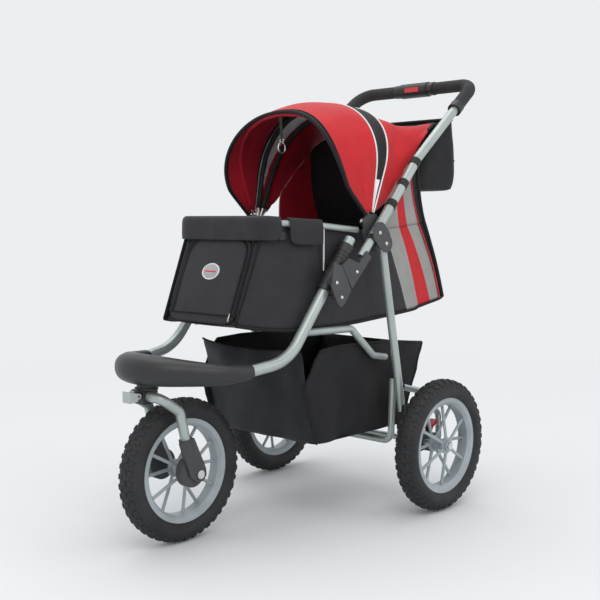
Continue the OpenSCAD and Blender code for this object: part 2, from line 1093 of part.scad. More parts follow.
module rim(centre) {
    color(rim_grey)
        placed()
            on_axle(centre)
                difference() {
                    union() {
                        rotate_extrude($fn = 96)
                            polygon([
                                [ring_in, -12], [ring_in, 12], [ring_in + 6, rim_half_w],
                                [rim_r - 1.5, rim_half_w + 1], [rim_r - 1.5, -rim_half_w - 1],
                                [ring_in + 6, -rim_half_w]
                            ]);
                        cylinder(h = 2 * hub_half, r = 13, center = true);
                        for (x = [-flange_x, flange_x])
                            translate([0, 0, x])
                                cylinder(h = 6, r = 19, center = true);
                        for (k = [0:spoke_count - 1])
                            rotate(k * 360 / spoke_count) {
                                side = k % 2 == 0 ? 1 : -1;
                                rod([15, 0, side * flange_x], [ring_in + 4, 0, side * 4], 3.6);
                            }
                    }
                    cylinder(h = 80, r = axle_r + running, center = true);
                }
}

module tyre(centre) {
    section_r = tyre_w / 2;
    color(plastic)
        placed()
            on_axle(centre)
                rotate_extrude($fn = 96)
                    difference() {
                        translate([wheel_r - section_r, 0])
                            circle(section_r);
                        translate([0, -tyre_w])
                            square([rim_r - 1.4, 2 * tyre_w]);
                    }
}

rear_centre = [half_track, rear_axle[0], rear_axle[1]];
front_centre = [0, 0, wheel_r];

module rear_rim_left() {
    rim(rear_centre);
}

module rear_tyre_left() {
    tyre(rear_centre);
}

module rear_rim_right() {
    mirror([1, 0, 0])
        rim(rear_centre);
}

module rear_tyre_right() {
    mirror([1, 0, 0])
        tyre(rear_centre);
}

module front_rim() {
    rim(front_centre);
}

module front_tyre() {
    tyre(front_centre);
}

/* Swivelling fork */

fork_x = 50;
fork_tube_r = 10.5;
fork_path = [
    [fork_x, -24, 212], [fork_x, -42, 288], [fork_x, -90, 321],
    [-fork_x, -90, 321], [-fork_x, -42, 288], [-fork_x, -24, 212]
];

module fork_tube() {
    color(silver)
        placed()
            bent_tube(fork_path, fork_tube_r, 20);
}

lock_pin = [-115, 324];

module lock_outline() {
    translate(lock_pin)
        circle(6);
    polygon([[-137, 312], [-118, 314], [-113, 329], [-137, 335]]);
}

// Block that clamps the fork's crown, with the steering pin and the lock lever's lug
module swivel_block() {
    color(plastic)
        placed() {
            difference() {
                union() {
                    translate([-14, -106.5, 306])
                        cube([28, 38, 27.5]);
                    translate([0, steer_y, 320])
                        cylinder(h = 40.6, r = steer_pin_r);
                    side_slab(-4, 4)
                        polygon([[-106, 316], [-106, 331], [-119, 329], [-119, 318]]);
                    side_slab(-12.5, 12.5)
                        translate(lock_pin)
                            circle(2.5);
                }
                rod([-20, -90, 321], [20, -90, 321], fork_tube_r + 0.1);
            }
            translate([0, steer_y, 333.6])
                cylinder(h = 0.9, r = 15);
        }
}

module lock_lever() {
    color(silver)
        placed()
            difference() {
                side_slab(-12.5, 12.5)
                    lock_outline();
                side_slab(-4.4, 4.4)
                    polygon([[-124, 300], [-124, 345], [-100, 345], [-100, 300]]);
                side_slab(-14, 14)
                    translate(lock_pin)
                        circle(2.5 + running);
            }
}

// Moulded feet of the fork: a strap outside, a round cover behind it and a socket for the tube
module fork_brackets() {
    color(plastic)
        placed()
            both()
                difference() {
                    union() {
                        side_slab(56, 62)
                            polygon([
                                [-51, 224], [-14, 231], [17, 162], [18, 148], [9, 137],
                                [-6, 136], [-24, 150]
                            ]);
                        side_slab(40, 57)
                            translate([-14, 160])
                                circle(33);
                        rod([fork_x, -19.4, 192], [fork_x, -28, 229], 14);
                    }
                    rod([fork_x, -23.9, 211.7], [fork_x, -35, 259], fork_tube_r + 0.1);
                    side_slab(30, 70)
                        circle_at_axle();
                }
}

module circle_at_axle() {
    translate([0, wheel_r])
        circle(axle_r + 0.1);
}

module front_axle() {
    color(silver)
        placed() {
            side_slab(-66, 66)
                translate([0, wheel_r])
                    circle(axle_r);
            both()
                side_slab(62.2, 66)
                    translate([0, wheel_r])
                        circle(9);
        }
}

front_tube_left();
front_tube_right();
bumper();
steering_head();
latch_sleeves();
latch_sliders();
latch_plates();
latch_struts();
hinge_plate_left();
hinge_plate_right();
side_bars();
top_rail();
rail_posts();
frame_rivets();
cabin_floor();
cabin_mat();
cabin_side_left();
cabin_side_right();
cabin_front();
cabin_back();
front_door();
top_flaps();
buckles();
basket();
rear_hood();
roof_flap();
rear_bow();
mid_bow();
front_bow();
canopy_cover();
leash_strap();
leash_hook();
handle_tube();
foam_grips();
handle_housing();
fold_button();
rear_bag();
bag_clamps();
tube_straps();
leg_left();
leg_right();
axle_tube();
rear_hoop();
axle_bracket_left();
axle_bracket_right();
rear_axles();
brake_pedal_left();
brake_pedal_right();
rear_rim_left();
rear_tyre_left();
rear_rim_right();
rear_tyre_right();
fork_tube();
swivel_block();
lock_lever();
fork_brackets();
front_axle();
front_rim();
front_tyre();
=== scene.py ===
import json
import math

import bmesh
import bpy
from mathutils import Matrix, Vector, noise


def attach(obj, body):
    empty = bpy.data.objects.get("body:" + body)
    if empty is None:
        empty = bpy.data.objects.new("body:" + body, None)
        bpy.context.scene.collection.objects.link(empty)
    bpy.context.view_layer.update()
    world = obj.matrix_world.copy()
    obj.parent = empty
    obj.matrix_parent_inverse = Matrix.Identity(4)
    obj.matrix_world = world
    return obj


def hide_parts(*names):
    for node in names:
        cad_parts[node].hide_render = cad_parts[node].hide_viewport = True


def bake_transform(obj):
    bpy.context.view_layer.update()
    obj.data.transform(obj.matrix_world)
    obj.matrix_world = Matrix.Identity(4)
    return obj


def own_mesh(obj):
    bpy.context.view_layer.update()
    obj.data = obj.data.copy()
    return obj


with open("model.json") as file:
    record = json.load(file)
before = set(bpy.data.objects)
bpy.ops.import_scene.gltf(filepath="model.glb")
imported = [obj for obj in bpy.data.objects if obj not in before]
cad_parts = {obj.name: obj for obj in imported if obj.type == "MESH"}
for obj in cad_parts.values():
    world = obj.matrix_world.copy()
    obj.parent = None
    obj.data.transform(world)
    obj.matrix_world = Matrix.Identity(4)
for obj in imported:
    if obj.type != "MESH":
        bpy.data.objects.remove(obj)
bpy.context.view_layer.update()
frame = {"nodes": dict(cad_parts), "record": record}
nodes = frame["nodes"]
scene = bpy.context.scene
FRONT_AXLE = -0.34225


def P(x, y, z):
    """Millimetres, with y measured from the front axle, to the row frame in metres."""
    return Vector((x / 1000, y / 1000 + FRONT_AXLE, z / 1000))


# ---------------------------------------------------------------- camera, light, floor
cam_data = bpy.data.cameras.new("camera")
cam = bpy.data.objects.new("camera", cam_data)
scene.collection.objects.link(cam)
scene.camera = cam
cam_data.sensor_width = 36
cam_data.lens = 59.65
cam_data.clip_start = 0.05
cam_data.clip_end = 50
forward = Vector((-0.6811, 0.7273, -0.0851)).normalized()
turn = forward.to_track_quat("-Z", "Y").to_matrix() @ Matrix.Rotation(-0.0039, 3, "Z")
cam.matrix_world = Matrix.Translation((1.5882, -1.66865, 0.6841)) @ turn.to_4x4()

scene.view_settings.view_transform = "Standard"
world = bpy.data.worlds.new("studio")
scene.world = world
world.use_nodes = True
BACKDROP = (0.838, 0.855, 0.871)
world.node_tree.nodes["Background"].inputs["Color"].default_value = (*BACKDROP, 1)
world.node_tree.nodes["Background"].inputs["Strength"].default_value = 1.0


def area_light(name, at, target, size, power, colour=(1, 1, 1)):
    data = bpy.data.lights.new(name, "AREA")
    data.size = size
    data.energy = power
    data.color = colour
    o = bpy.data.objects.new(name, data)
    scene.collection.objects.link(o)
    o.matrix_world = Matrix.Translation(at) @ (
        (Vector(target) - Vector(at)).to_track_quat("-Z", "Y").to_matrix().to_4x4())


area_light("key", (1.6, -1.7, 2.6), (0, 0, 0.5), 1.8, 20)
area_light("fill", (2.8, 1.2, 1.6), (0, 0, 0.5), 2.0, 8)
area_light("top", (-0.6, 0.4, 3.0), (0, 0, 0.4), 2.4, 22)

# ---------------------------------------------------------------- materials


class Shader:
    """A procedural material: a base colour broken up by noise, with a bump of its own."""

    def __init__(self, name, colour, rough, metal=0.0, **sockets):
        self.mat = bpy.data.materials.new(name)
        self.mat.use_nodes = True
        self.tree = self.mat.node_tree
        self.bsdf = self.tree.nodes["Principled BSDF"]
        self.bsdf.inputs["Base Color"].default_value = (*colour, 1)
        self.bsdf.inputs["Roughness"].default_value = rough
        self.bsdf.inputs["Metallic"].default_value = metal
        for key, value in sockets.items():
            self.bsdf.inputs[key.replace("_", " ")].default_value = value
        self.colour = colour
        self.coord = self.tree.nodes.new("ShaderNodeTexCoord").outputs["Object"]
        self.bumps = []

    def node(self, kind, **values):
        n = self.tree.nodes.new(kind)
        for key, value in values.items():
            n.inputs[key].default_value = value
        return n

    def link(self, a, b):
        self.tree.links.new(a, b)

    def noise(self, scale, detail=3.0, rough=0.55):
        n = self.node("ShaderNodeTexNoise", Scale=scale, Detail=detail, Roughness=rough)
        self.link(self.coord, n.inputs["Vector"])
        return n.outputs["Fac"]

    def ramp(self, fac, low, high, a=0.35, b=0.65):
        r = self.tree.nodes.new("ShaderNodeValToRGB")
        r.color_ramp.elements[0].position = a
        r.color_ramp.elements[1].position = b
        r.color_ramp.elements[0].color = (*low, 1)
        r.color_ramp.elements[1].color = (*high, 1)
        self.link(fac, r.inputs["Fac"])
        return r.outputs["Color"]

    def vary(self, scale, amount, detail=4.0):
        low = [c * (1 - amount) for c in self.colour]
        high = [min(1, c * (1 + amount)) for c in self.colour]
        self.link(self.ramp(self.noise(scale, detail), low, high), self.bsdf.inputs["Base Color"])
        return self

    def vary_rough(self, scale, low, high):
        m = self.node("ShaderNodeMapRange")
        m.inputs["To Min"].default_value = low
        m.inputs["To Max"].default_value = high
        self.link(self.noise(scale), m.inputs["Value"])
        self.link(m.outputs["Result"], self.bsdf.inputs["Roughness"])
        return self

    def bump(self, height, strength, distance):
        b = self.node("ShaderNodeBump", Strength=strength, Distance=distance)
        self.link(height, b.inputs["Height"])
        if self.bumps:
            self.link(self.bumps[-1].outputs["Normal"], b.inputs["Normal"])
        self.bumps.append(b)
        self.link(b.outputs["Normal"], self.bsdf.inputs["Normal"])
        return self

    def wave(self, scale, direction, distortion=0.0):
        w = self.tree.nodes.new("ShaderNodeTexWave")
        w.wave_type = "BANDS"
        w.bands_direction = direction
        w.inputs["Scale"].default_value = scale
        w.inputs["Distortion"].default_value = distortion
        self.link(self.coord, w.inputs["Vector"])
        return w.outputs["Fac"]

    def weave(self, pitch, strength=0.25):
        """Crossed threads, pitch metres apart, on whichever way the cloth faces."""
        scale = 0.32 / pitch
        total = None
        for axis in "XYZ":
            w = self.wave(scale, axis, 0.6)
            if total is None:
                total = w
                continue
            m = self.node("ShaderNodeMath")
            m.operation = "MULTIPLY" if axis == "Y" else "ADD"
            self.link(total, m.inputs[0])
            self.link(w, m.inputs[1])
            total = m.outputs[0]
        return self.bump(total, strength, pitch * 0.25)

    def cloth(self, pitch=0.0009, wrinkle=0.4, vary=0.10):
        self.vary(26, vary)
        self.bump(self.noise(22, 4, 0.6), wrinkle, 0.004)
        self.bump(self.noise(120, 3, 0.6), wrinkle * 0.4, 0.0008)
        return self.weave(pitch)


def fabric(name, colour, sheen=0.25, rough=0.82, **k):
    s = Shader(name, colour, rough)
    s.bsdf.inputs["Sheen Weight"].default_value = sheen
    s.bsdf.inputs["Sheen Roughness"].default_value = 0.5
    s.bsdf.inputs["Specular IOR Level"].default_value = 0.3
    s.cloth(**k)
    return s.mat


def moulded(name, colour, rough, grain=900, strength=0.12, coat=0.0):
    s = Shader(name, colour, rough, Coat_Weight=coat)
    s.vary(14, 0.12)
    s.vary_rough(40, rough - 0.07, rough + 0.10)
    s.bump(s.noise(grain, 2), strength, 0.0004)
    return s.mat


M = {}
paint = Shader("paint_silver", (0.40, 0.45, 0.43), 0.36, 0.55, Coat_Weight=0.35, Coat_Roughness=0.22)
paint.vary(9, 0.06).vary_rough(30, 0.30, 0.42).bump(paint.noise(420, 2), 0.06, 0.0003)
M["frame_tube"] = paint.mat
steel = Shader("steel_plated", (0.62, 0.62, 0.60), 0.28, 1.0)
steel.vary(30, 0.10).vary_rough(90, 0.20, 0.38).bump(steel.noise(600, 2), 0.08, 0.0002)
M["steel"] = steel.mat
M["moulding"] = moulded("moulding_black", (0.020, 0.020, 0.021), 0.42)
M["dark_plate"] = moulded("plate_dark", (0.045, 0.046, 0.048), 0.46)
M["grey_plastic"] = moulded("plastic_grey", (0.36, 0.39, 0.39), 0.40)
M["rim"] = moulded("rim_grey", (0.33, 0.37, 0.39), 0.40, 700, 0.06, 0.1)
M["red_plastic"] = moulded("plastic_red", (0.62, 0.02, 0.03), 0.28, 800, 0.05, 0.4)
foam = Shader("foam_black", (0.022, 0.022, 0.023), 0.78)
foam.vary(30, 0.2).bump(foam.noise(1400, 2), 0.5, 0.0006).bump(foam.noise(160, 3), 0.2, 0.0008)
M["foam"] = foam.mat
tyre = Shader("tyre_rubber", (0.017, 0.017, 0.018), 0.68)
tyre.vary(20, 0.25).vary_rough(60, 0.58, 0.82).bump(tyre.noise(500, 3), 0.25, 0.0005)
M["tyre"] = tyre.mat
M["black_cloth"] = fabric("cloth_charcoal", (0.021, 0.020, 0.023), 0.07, 0.62)
M["deep_cloth"] = fabric("cloth_black", (0.009, 0.009, 0.010), 0.04, 0.75)
M["navy_cloth"] = fabric("cloth_navy", (0.015, 0.016, 0.021), 0.06, 0.7)
M["red_cloth"] = fabric("cloth_red", (0.52, 0.008, 0.014), 0.05, 0.62, vary=0.07)
M["lining"] = fabric("cloth_red_lining", (0.40, 0.006, 0.022), 0.05, 0.8)
M["grey_cloth"] = fabric("cloth_grey", (0.30, 0.30, 0.285), 0.1, 0.7, vary=0.05)
M["mesh"] = fabric("mesh_grey", (0.82, 0.82, 0.82), 0.1, 0.8, pitch=0.0016)
M["piping"] = fabric("piping_white", (0.78, 0.77, 0.74), 0.1, 0.6, wrinkle=0.1, vary=0.04)
M["red_piping"] = fabric("piping_red", (0.60, 0.015, 0.03), 0.1, 0.6, wrinkle=0.1)
webbing = Shader("webbing_black", (0.014, 0.014, 0.014), 0.7)
webbing.vary(60, 0.2).weave(0.0016, 0.6)
M["webbing"] = webbing.mat
M["badge"] = moulded("badge_pale", (0.34, 0.34, 0.36), 0.35, 500, 0.05, 0.3)

floor_shader = Shader("floor_pale", (0.79, 0.80, 0.81), 0.9)
floor_shader.vary(2.0, 0.01)
sphere = floor_shader.tree.nodes.new("ShaderNodeTexGradient")
sphere.gradient_type = "QUADRATIC_SPHERE"
reach = floor_shader.node("ShaderNodeMapping")
reach.inputs["Scale"].default_value = (0.16, 0.16, 0.16)
glow = floor_shader.node("ShaderNodeEmission", Color=(*BACKDROP, 1), Strength=1.0)
far_mix = floor_shader.tree.nodes.new("ShaderNodeMixShader")
floor_shader.link(floor_shader.coord, reach.inputs["Vector"])
floor_shader.link(reach.outputs["Vector"], sphere.inputs["Vector"])
near = floor_shader.node("ShaderNodeMapRange")
near.inputs["From Min"].default_value = 0.30
near.inputs["From Max"].default_value = 0.85
floor_shader.link(sphere.outputs["Fac"], near.inputs["Value"])
floor_shader.link(near.outputs["Result"], far_mix.inputs["Fac"])
floor_shader.link(glow.outputs["Emission"], far_mix.inputs[1])
floor_shader.link(floor_shader.bsdf.outputs["BSDF"], far_mix.inputs[2])
floor_shader.link(far_mix.outputs["Shader"], floor_shader.tree.nodes["Material Output"].inputs["Surface"])
bpy.ops.mesh.primitive_plane_add(size=40, location=(0, 0, -0.0005))
floor = bpy.context.object
floor.name = "floor"
floor.data.materials.append(floor_shader.mat)

slot_of = {s["node"]: s["material_slot"] for s in frame["record"]["subparts"]}
for name, o in nodes.items():
    o.data.materials.clear()
    o.data.materials.append(M[slot_of[name]])
for p in [p for o in nodes.values() for p in o.data.polygons]:
    p.use_smooth = True
for o in nodes.values():
    m = o.modifiers.new("edges", "EDGE_SPLIT")
    m.split_angle = math.radians(32)

# ---------------------------------------------------------------- mesh helpers


def make(name, verts, faces, mats, body, which=None, smooth=True):
    me = bpy.data.meshes.new(name)
    me.from_pydata([tuple(v) for v in verts], [], faces)
    for m in mats if isinstance(mats, (list, tuple)) else [mats]:
        me.materials.append(M[m])
    for i, p in enumerate(me.polygons):
        p.use_smooth = smooth
        if which:
            p.material_index = which[i]
    me.update()
    bm = bmesh.new()
    bm.from_mesh(me)
    bmesh.ops.recalc_face_normals(bm, faces=bm.faces)
    bm.to_mesh(me)
    bm.free()
    o = bpy.data.objects.new(name, me)
    scene.collection.objects.link(o)
    if body:
        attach(o, body)
    return o


def sheet(name, rows, mats, body=None, thick=0.0022, pick=None, closed=False, levels=1, side=0):
    """A thin cloth through rows of points; pick(row, column) gives the material's place."""
    n = len(rows[0])
    verts = [p for row in rows for p in row]
    faces, which = [], []
    for j in range(len(rows) - 1):
        for i in range(n if closed else n - 1):
            k = (i + 1) % n
            faces.append((j * n + i, j * n + k, (j + 1) * n + k, (j + 1) * n + i))
            which.append(pick(j, i) if pick else 0)
    o = make(name, verts, faces, mats, None, which)
    if levels:
        m = o.modifiers.new("round", "SUBSURF")
        m.levels = m.render_levels = levels
    if thick:
        m = o.modifiers.new("thick", "SOLIDIFY")
        m.thickness = thick
        m.offset = side
    if body:
        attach(o, body)
    return o


def applied(o):
    """Applies the modifiers, so that the object holds the final mesh."""
    dg = bpy.context.evaluated_depsgraph_get()
    me = bpy.data.meshes.new_from_object(o.evaluated_get(dg))
    o.modifiers.clear()
    o.data = me
    return o


def curve(points, per=6, closed=False):
    """A smooth line through the points."""
    pts = [Vector(p) for p in points]
    out = []
    n = len(pts)
    for i in range(n if closed else n - 1):
        a = pts[(i - 1) % n] if closed or i > 0 else pts[0] * 2 - pts[1]
        b, c = pts[i], pts[(i + 1) % n]
        d = pts[(i + 2) % n] if closed or i < n - 2 else pts[-1] * 2 - pts[-2]
        for k in range(per):
            t = k / per
            out.append(0.5 * (2 * b + (c - a) * t + (2 * a - 5 * b + 4 * c - d) * t * t
                              + (3 * b - a - 3 * c + d) * t ** 3))
    if not closed:
        out.append(pts[-1])
    return out


def sweep(name, line, r, mat, body=None, slot=None, sides=8, flat=1.0, closed=False, normal=None):
    """A cord or band along a line; flat squeezes it across its width."""
    pts = [Vector(p) for p in line]
    n = len(pts)
    verts, faces = [], []
    up = Vector(normal) if normal else None
    for i, p in enumerate(pts):
        if closed:
            t = (pts[(i + 1) % n] - pts[i - 1]).normalized()
        else:
            t = (pts[min(i + 1, n - 1)] - pts[max(i - 1, 0)]).normalized()
        if normal:
            up = Vector(normal)
        elif up is None:
            up = t.orthogonal().normalized()
        a = (up - t * up.dot(t)).normalized()
        up = a
        b = t.cross(a)
        for k in range(sides):
            w = 2 * math.pi * (k + 0.5) / sides
            verts.append(p + a * (math.cos(w) * r * flat) + b * (math.sin(w) * r))
    for i in range(n if closed else n - 1):
        j = (i + 1) % n
        for k in range(sides):
            m = (k + 1) % sides
            faces.append((i * sides + k, i * sides + m, j * sides + m, j * sides + k))
    if not closed:
        faces += [tuple(range(sides))[::-1], tuple((n - 1) * sides + k for k in range(sides))]
    return make(name, verts, faces, mat, body)


def seam(name, line, r, body="frame", sides=8, **shape):
    """A black binding, hem or sewn seam along a line."""
    return sweep(name, line, r, "deep_cloth", body, "black_cloth", sides, **shape)


def bevelled(name, lo, hi, r, mat, body, move=None):
    """A box with rounded edges, then moved by a matrix."""
    bm = bmesh.new()
    bmesh.ops.create_cube(bm, size=1)
    lo, hi = Vector(lo), Vector(hi)
    for v in bm.verts:
        v.co = Vector([(lo[i] + hi[i]) / 2 + v.co[i] * (hi[i] - lo[i]) for i in range(3)])
    bmesh.ops.bevel(bm, geom=bm.edges[:], offset=r, segments=2, profile=0.5, affect="EDGES")
    if move:
        bmesh.ops.transform(bm, matrix=move, verts=bm.verts)
    me = bpy.data.meshes.new(name)
    bm.to_mesh(me)
    bm.free()
    me.materials.append(M[mat])
    for p in me.polygons:
        p.use_smooth = True
    o = bpy.data.objects.new(name, me)
    scene.collection.objects.link(o)
    m = o.modifiers.new("edges", "EDGE_SPLIT")
    m.split_angle = math.radians(40)
    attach(o, body)
    return o


def wrinkle(o, scale, amount, seed=0.0):
    """Moves points along their normals by smooth noise."""
    for v in o.data.vertices:
        v.co += v.normal * (noise.noise(v.co * scale + Vector((seed, seed, seed))) * amount)
    o.data.update()


def even(points, n):
    """n points at equal steps along a line."""
    length = [0.0]
    for a, b in zip(points, points[1:]):
        length.append(length[-1] + (b - a).length)
    out, k = [], 0
    for i in range(n):
        want = length[-1] * i / (n - 1)
        while k < len(points) - 2 and length[k + 1] < want:
            k += 1
        t = (want - length[k]) / max(1e-9, length[k + 1] - length[k])
        out.append(points[k].lerp(points[k + 1], max(0, min(1, t))))
    return out


def outward(o, direction):
    """Turns a sheet's faces to look along direction, on the whole."""
    total = Vector()
    for p in o.data.polygons:
        total += p.normal * p.area
    if total.dot(Vector(direction)) < 0:
        o.data.flip_normals()


def mix(a, b, t):
    return a + (b - a) * t


def at(table, t):
    """Straight-line reading of a table of (t, value)."""
    for (t0, v0), (t1, v1) in zip(table, table[1:]):
        if t <= t1:
            return mix(v0, v1, 0 if t1 == t0 else max(0, (t - t0) / (t1 - t0)))
    return table[-1][1]


# ---------------------------------------------------------------- tether in the canopy
PIVOT_Y, PIVOT_Z = 402, 668
BOW_HALF, SHOULDER = 182, 0.42
TIP, MID, REAR = 21, -9, -22
FRONT_TOP, MID_TOP, REAR_TOP = 262, 276, 288
CLOTH_LOW = 22


def on_bow(x, r, lean):
    """x across and r up from the pivots, in a plane that leans forward by lean degrees."""
    a = math.radians(lean)
    return P(x, PIVOT_Y - r * math.sin(a), PIVOT_Z + r * math.cos(a))


def canopy_top(lean):
    """Height of the canopy over its pivots, in millimetres."""
    if lean > MID:
        return MID_TOP + (FRONT_TOP - MID_TOP) * (lean - MID) / (TIP - MID)
    return REAR_TOP + (MID_TOP - REAR_TOP) * (lean - REAR) / (MID - REAR)


strap_top = on_bow(0, FRONT_TOP - 0.7, TIP) - Vector((0, 0, 0.0038))
hang = ((0, 0), (0, 7), (0, 14), (0.5, 21), (1, 28), (1.5, 35), (2, 42), (2.5, 49), (3, 56))
strap_line = [strap_top + Vector((0, y / 1000, -z / 1000)) for y, z in hang]
strap = sweep("tether_strap", strap_line, 0.0046, "webbing", "canopy_front", "webbing", 10, 0.26,
              normal=(0, 1, 0))
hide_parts("leash_strap")
ring = strap_top + Vector((0, 0.003, -0.071))
hook_shape = ((0, 12), (-7, 9), (-11.5, 1), (-9, -8), (0, -12.5), (8, -9), (11, -2), (9, 6))
hook_line = curve([ring + Vector((0, y / 1000, z / 1000)) for y, z in hook_shape], 5)
hook = sweep("tether_hook", hook_line, 0.0018, "steel", "canopy_front", "steel", 10)
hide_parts("leash_hook")
eye_line = [ring + Vector((0.0055 * math.cos(a), 0, 0.0155 + 0.004 * math.sin(a)))
            for a in [k * math.pi / 10 for k in range(20)]]
eye = sweep("tether_eye", eye_line, 0.0013, "steel", "canopy_front", "steel", 8, closed=True)
gate = sweep("tether_gate", [ring + Vector((0, 0.009, 0.006)), ring + Vector((0, 0.0035, 0.0115))],
             0.0016, "steel", "canopy_front", "steel", 8)

# ---------------------------------------------------------------- tyres
TYRE_R, SECTION_R = 0.1525, 0.0255
RING_R = TYRE_R - 0.027
KNOB_ROOT = -0.002


def knob(verts, faces, theta, phi, a, b, high):
    """One tread block, at theta round the wheel and phi across the tread, 2a long and 2b wide."""
    radial = Vector((0, math.cos(theta), math.sin(theta)))
    tangent = Vector((0, -math.sin(theta), math.cos(theta)))
    out = radial * math.cos(phi) + Vector((math.sin(phi), 0, 0))
    across = tangent.cross(out)
    base = radial * RING_R + out * SECTION_R
    k = len(verts)
    for h, s in ((KNOB_ROOT, 1.0), (high, 0.80)):
        for u, w in ((-1, -1), (1, -1), (1, 1), (-1, 1)):
            verts.append(base + out * h + tangent * (a * u * s) + across * (b * w * s))
    for f in ((0, 1, 2, 3), (4, 5, 6, 7), (0, 1, 5, 4), (1, 2, 6, 5), (2, 3, 7, 6), (3, 0, 4, 7)):
        faces.append(tuple(k + i for i in f))


def tyre_piece(name, centre, body, node):
    """A carcass with rows of tread blocks round it and fine ribs on its walls."""
    verts, faces = [], []
    seg, sec = 96, 24
    for i in range(seg):
        t = 2 * math.pi * i / seg
        for j in range(sec):
            w = 2 * math.pi * j / sec
            r = RING_R + SECTION_R * math.cos(w) * (1.0 if math.cos(w) > 0 else 0.86)
            verts.append(Vector((SECTION_R * 1.04 * math.sin(w), r * math.cos(t), r * math.sin(t))))
    for i in range(seg):
        for j in range(sec):
            k, m = (i + 1) % seg, (j + 1) % sec
            faces.append((i * sec + j, k * sec + j, k * sec + m, i * sec + m))
    # blocks in the row, offset, phi, half length, half width
    rows = ((40, 0.0, 0.22, 0.0062, 0.0042), (40, 0.5, -0.22, 0.0062, 0.0042),
            (44, 0.0, 0.66, 0.0056, 0.0052), (44, 0.5, -0.66, 0.0056, 0.0052),
            (66, 0.0, 1.10, 0.0026, 0.0058), (66, 0.5, -1.10, 0.0026, 0.0058))
    for n, off, phi, a, b in rows:
        tall = 0.0014 if abs(phi) > 1 else 0.0015 + 0.0012 * (abs(phi) > 0.5)
        for k in range(n):
            knob(verts, faces, 2 * math.pi * (k + off) / n, phi, a, b, tall)
    o = make(name, [v + Vector(centre) for v in verts], faces, "tyre", body)
    m = o.modifiers.new("edges", "EDGE_SPLIT")
    m.split_angle = math.radians(40)
    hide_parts(node)
    return o


HALF_TRACK, WHEELBASE, AXLE = 271, 554, 152.5
tyre_piece("tyre_left", P(HALF_TRACK, WHEELBASE, AXLE), "rear_wheel_left", "rear_tyre_left")
tyre_piece("tyre_right", P(-HALF_TRACK, WHEELBASE, AXLE), "rear_wheel_right", "rear_tyre_right")
tyre_piece("tyre_front", P(0, 0, AXLE), "front_wheel", "front_tyre")

# ---------------------------------------------------------------- nose
# x, y, z of the centre, half width, half height
NOSE_SIDES = 28
stations = [(166, 48, 371, 15, 15), (158, 6, 370, 17, 18), (138, -22, 370, 21, 22),
            (96, -54, 372, 27, 26), (48, -86, 375, 35, 30), (0, -98, 376, 38, 31)]
full = stations + [(-x, y, z, a, b) for x, y, z, a, b in stations[-2::-1]]
middle = curve([P(*s[:3]) for s in full], 5)
sizes = curve([(s[3] / 1000, s[4] / 1000, 0) for s in full], 5)
rows = []
for i, (p, s) in enumerate(zip(middle, sizes)):
    t = (middle[min(i + 1, len(middle) - 1)] - middle[max(i - 1, 0)]).normalized()
    side = t.cross(Vector((0, 0, 1))).normalized()
    ring_pts = []
    for k in range(NOSE_SIDES):
        w = 2 * math.pi * k / NOSE_SIDES
        c, d = math.cos(w), math.sin(w)
        c = math.copysign(abs(c) ** 0.86, c)
        d = math.copysign(abs(d) ** 0.86, d)
        ring_pts.append(p + side * (c * s[0]) + Vector((0, 0, 1)) * (d * s[1]))
    rows.append(ring_pts)
END_SHARE = 0.55
ends = []
for ring, inward in ((rows[0], middle[1] - middle[0]), (rows[-1], middle[-2] - middle[-1])):
    centre, bulge = sum(ring, Vector()) / NOSE_SIDES, inward.normalized() * (1 - END_SHARE) * 0.012
    ends.append([mix(centre, q, END_SHARE) - bulge for q in ring])
rows = [ends[0]] + rows + [ends[1]]
nose = sheet("nose_moulding", rows, "moulding", "frame", thick=0, closed=True, levels=1)
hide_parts("bumper")

# ---------------------------------------------------------------- cabin walls
# foot, middle and head of each upright line on the wall, from the front to the rear
SIDE = [
    ((112, 55, 459), (115.5, 96, 561), (118.5, 137, 664)),
    ((137, 98, 451), (142, 143, 558), (140, 190, 661)),
    ((162, 150, 446), (164.5, 200, 552), (163, 250, 656)),
    ((166, 200, 444), (167, 240, 550), (164.5, 290, 654)),
    ((168, 330, 444), (168.5, 340, 548), (166, 350, 651)),
    ((168, 566, 458), (168.5, 516, 570), (167.5, 473, 653)),
    ((168, 606, 465), (168.5, 566, 569), (168, 529, 656)),
    ((168, 655, 473), (168.5, 610, 569), (168, 559, 659)),
    ((168, 690, 479), (168, 652, 571), (168, 601, 664)),
    ((166, 704, 482), (166, 668, 573), (166, 625, 668)),
]


def three(a, b, c, t):
    """The smooth line through three points."""
    return a * ((1 - t) * (1 - 2 * t)) + b * (4 * t * (1 - t)) + c * (t * (2 * t - 1))


def across_lines(lines, per, count, flip):
    """Rows of points from the foot to the head of upright lines, with per steps between two lines."""
    rows = []
    for j in range(count + 1):
        keys = [three(*(P(x * flip, y, z) for x, y, z in line), j / count) for line in lines]
        rows.append(curve(keys, per))
    return rows


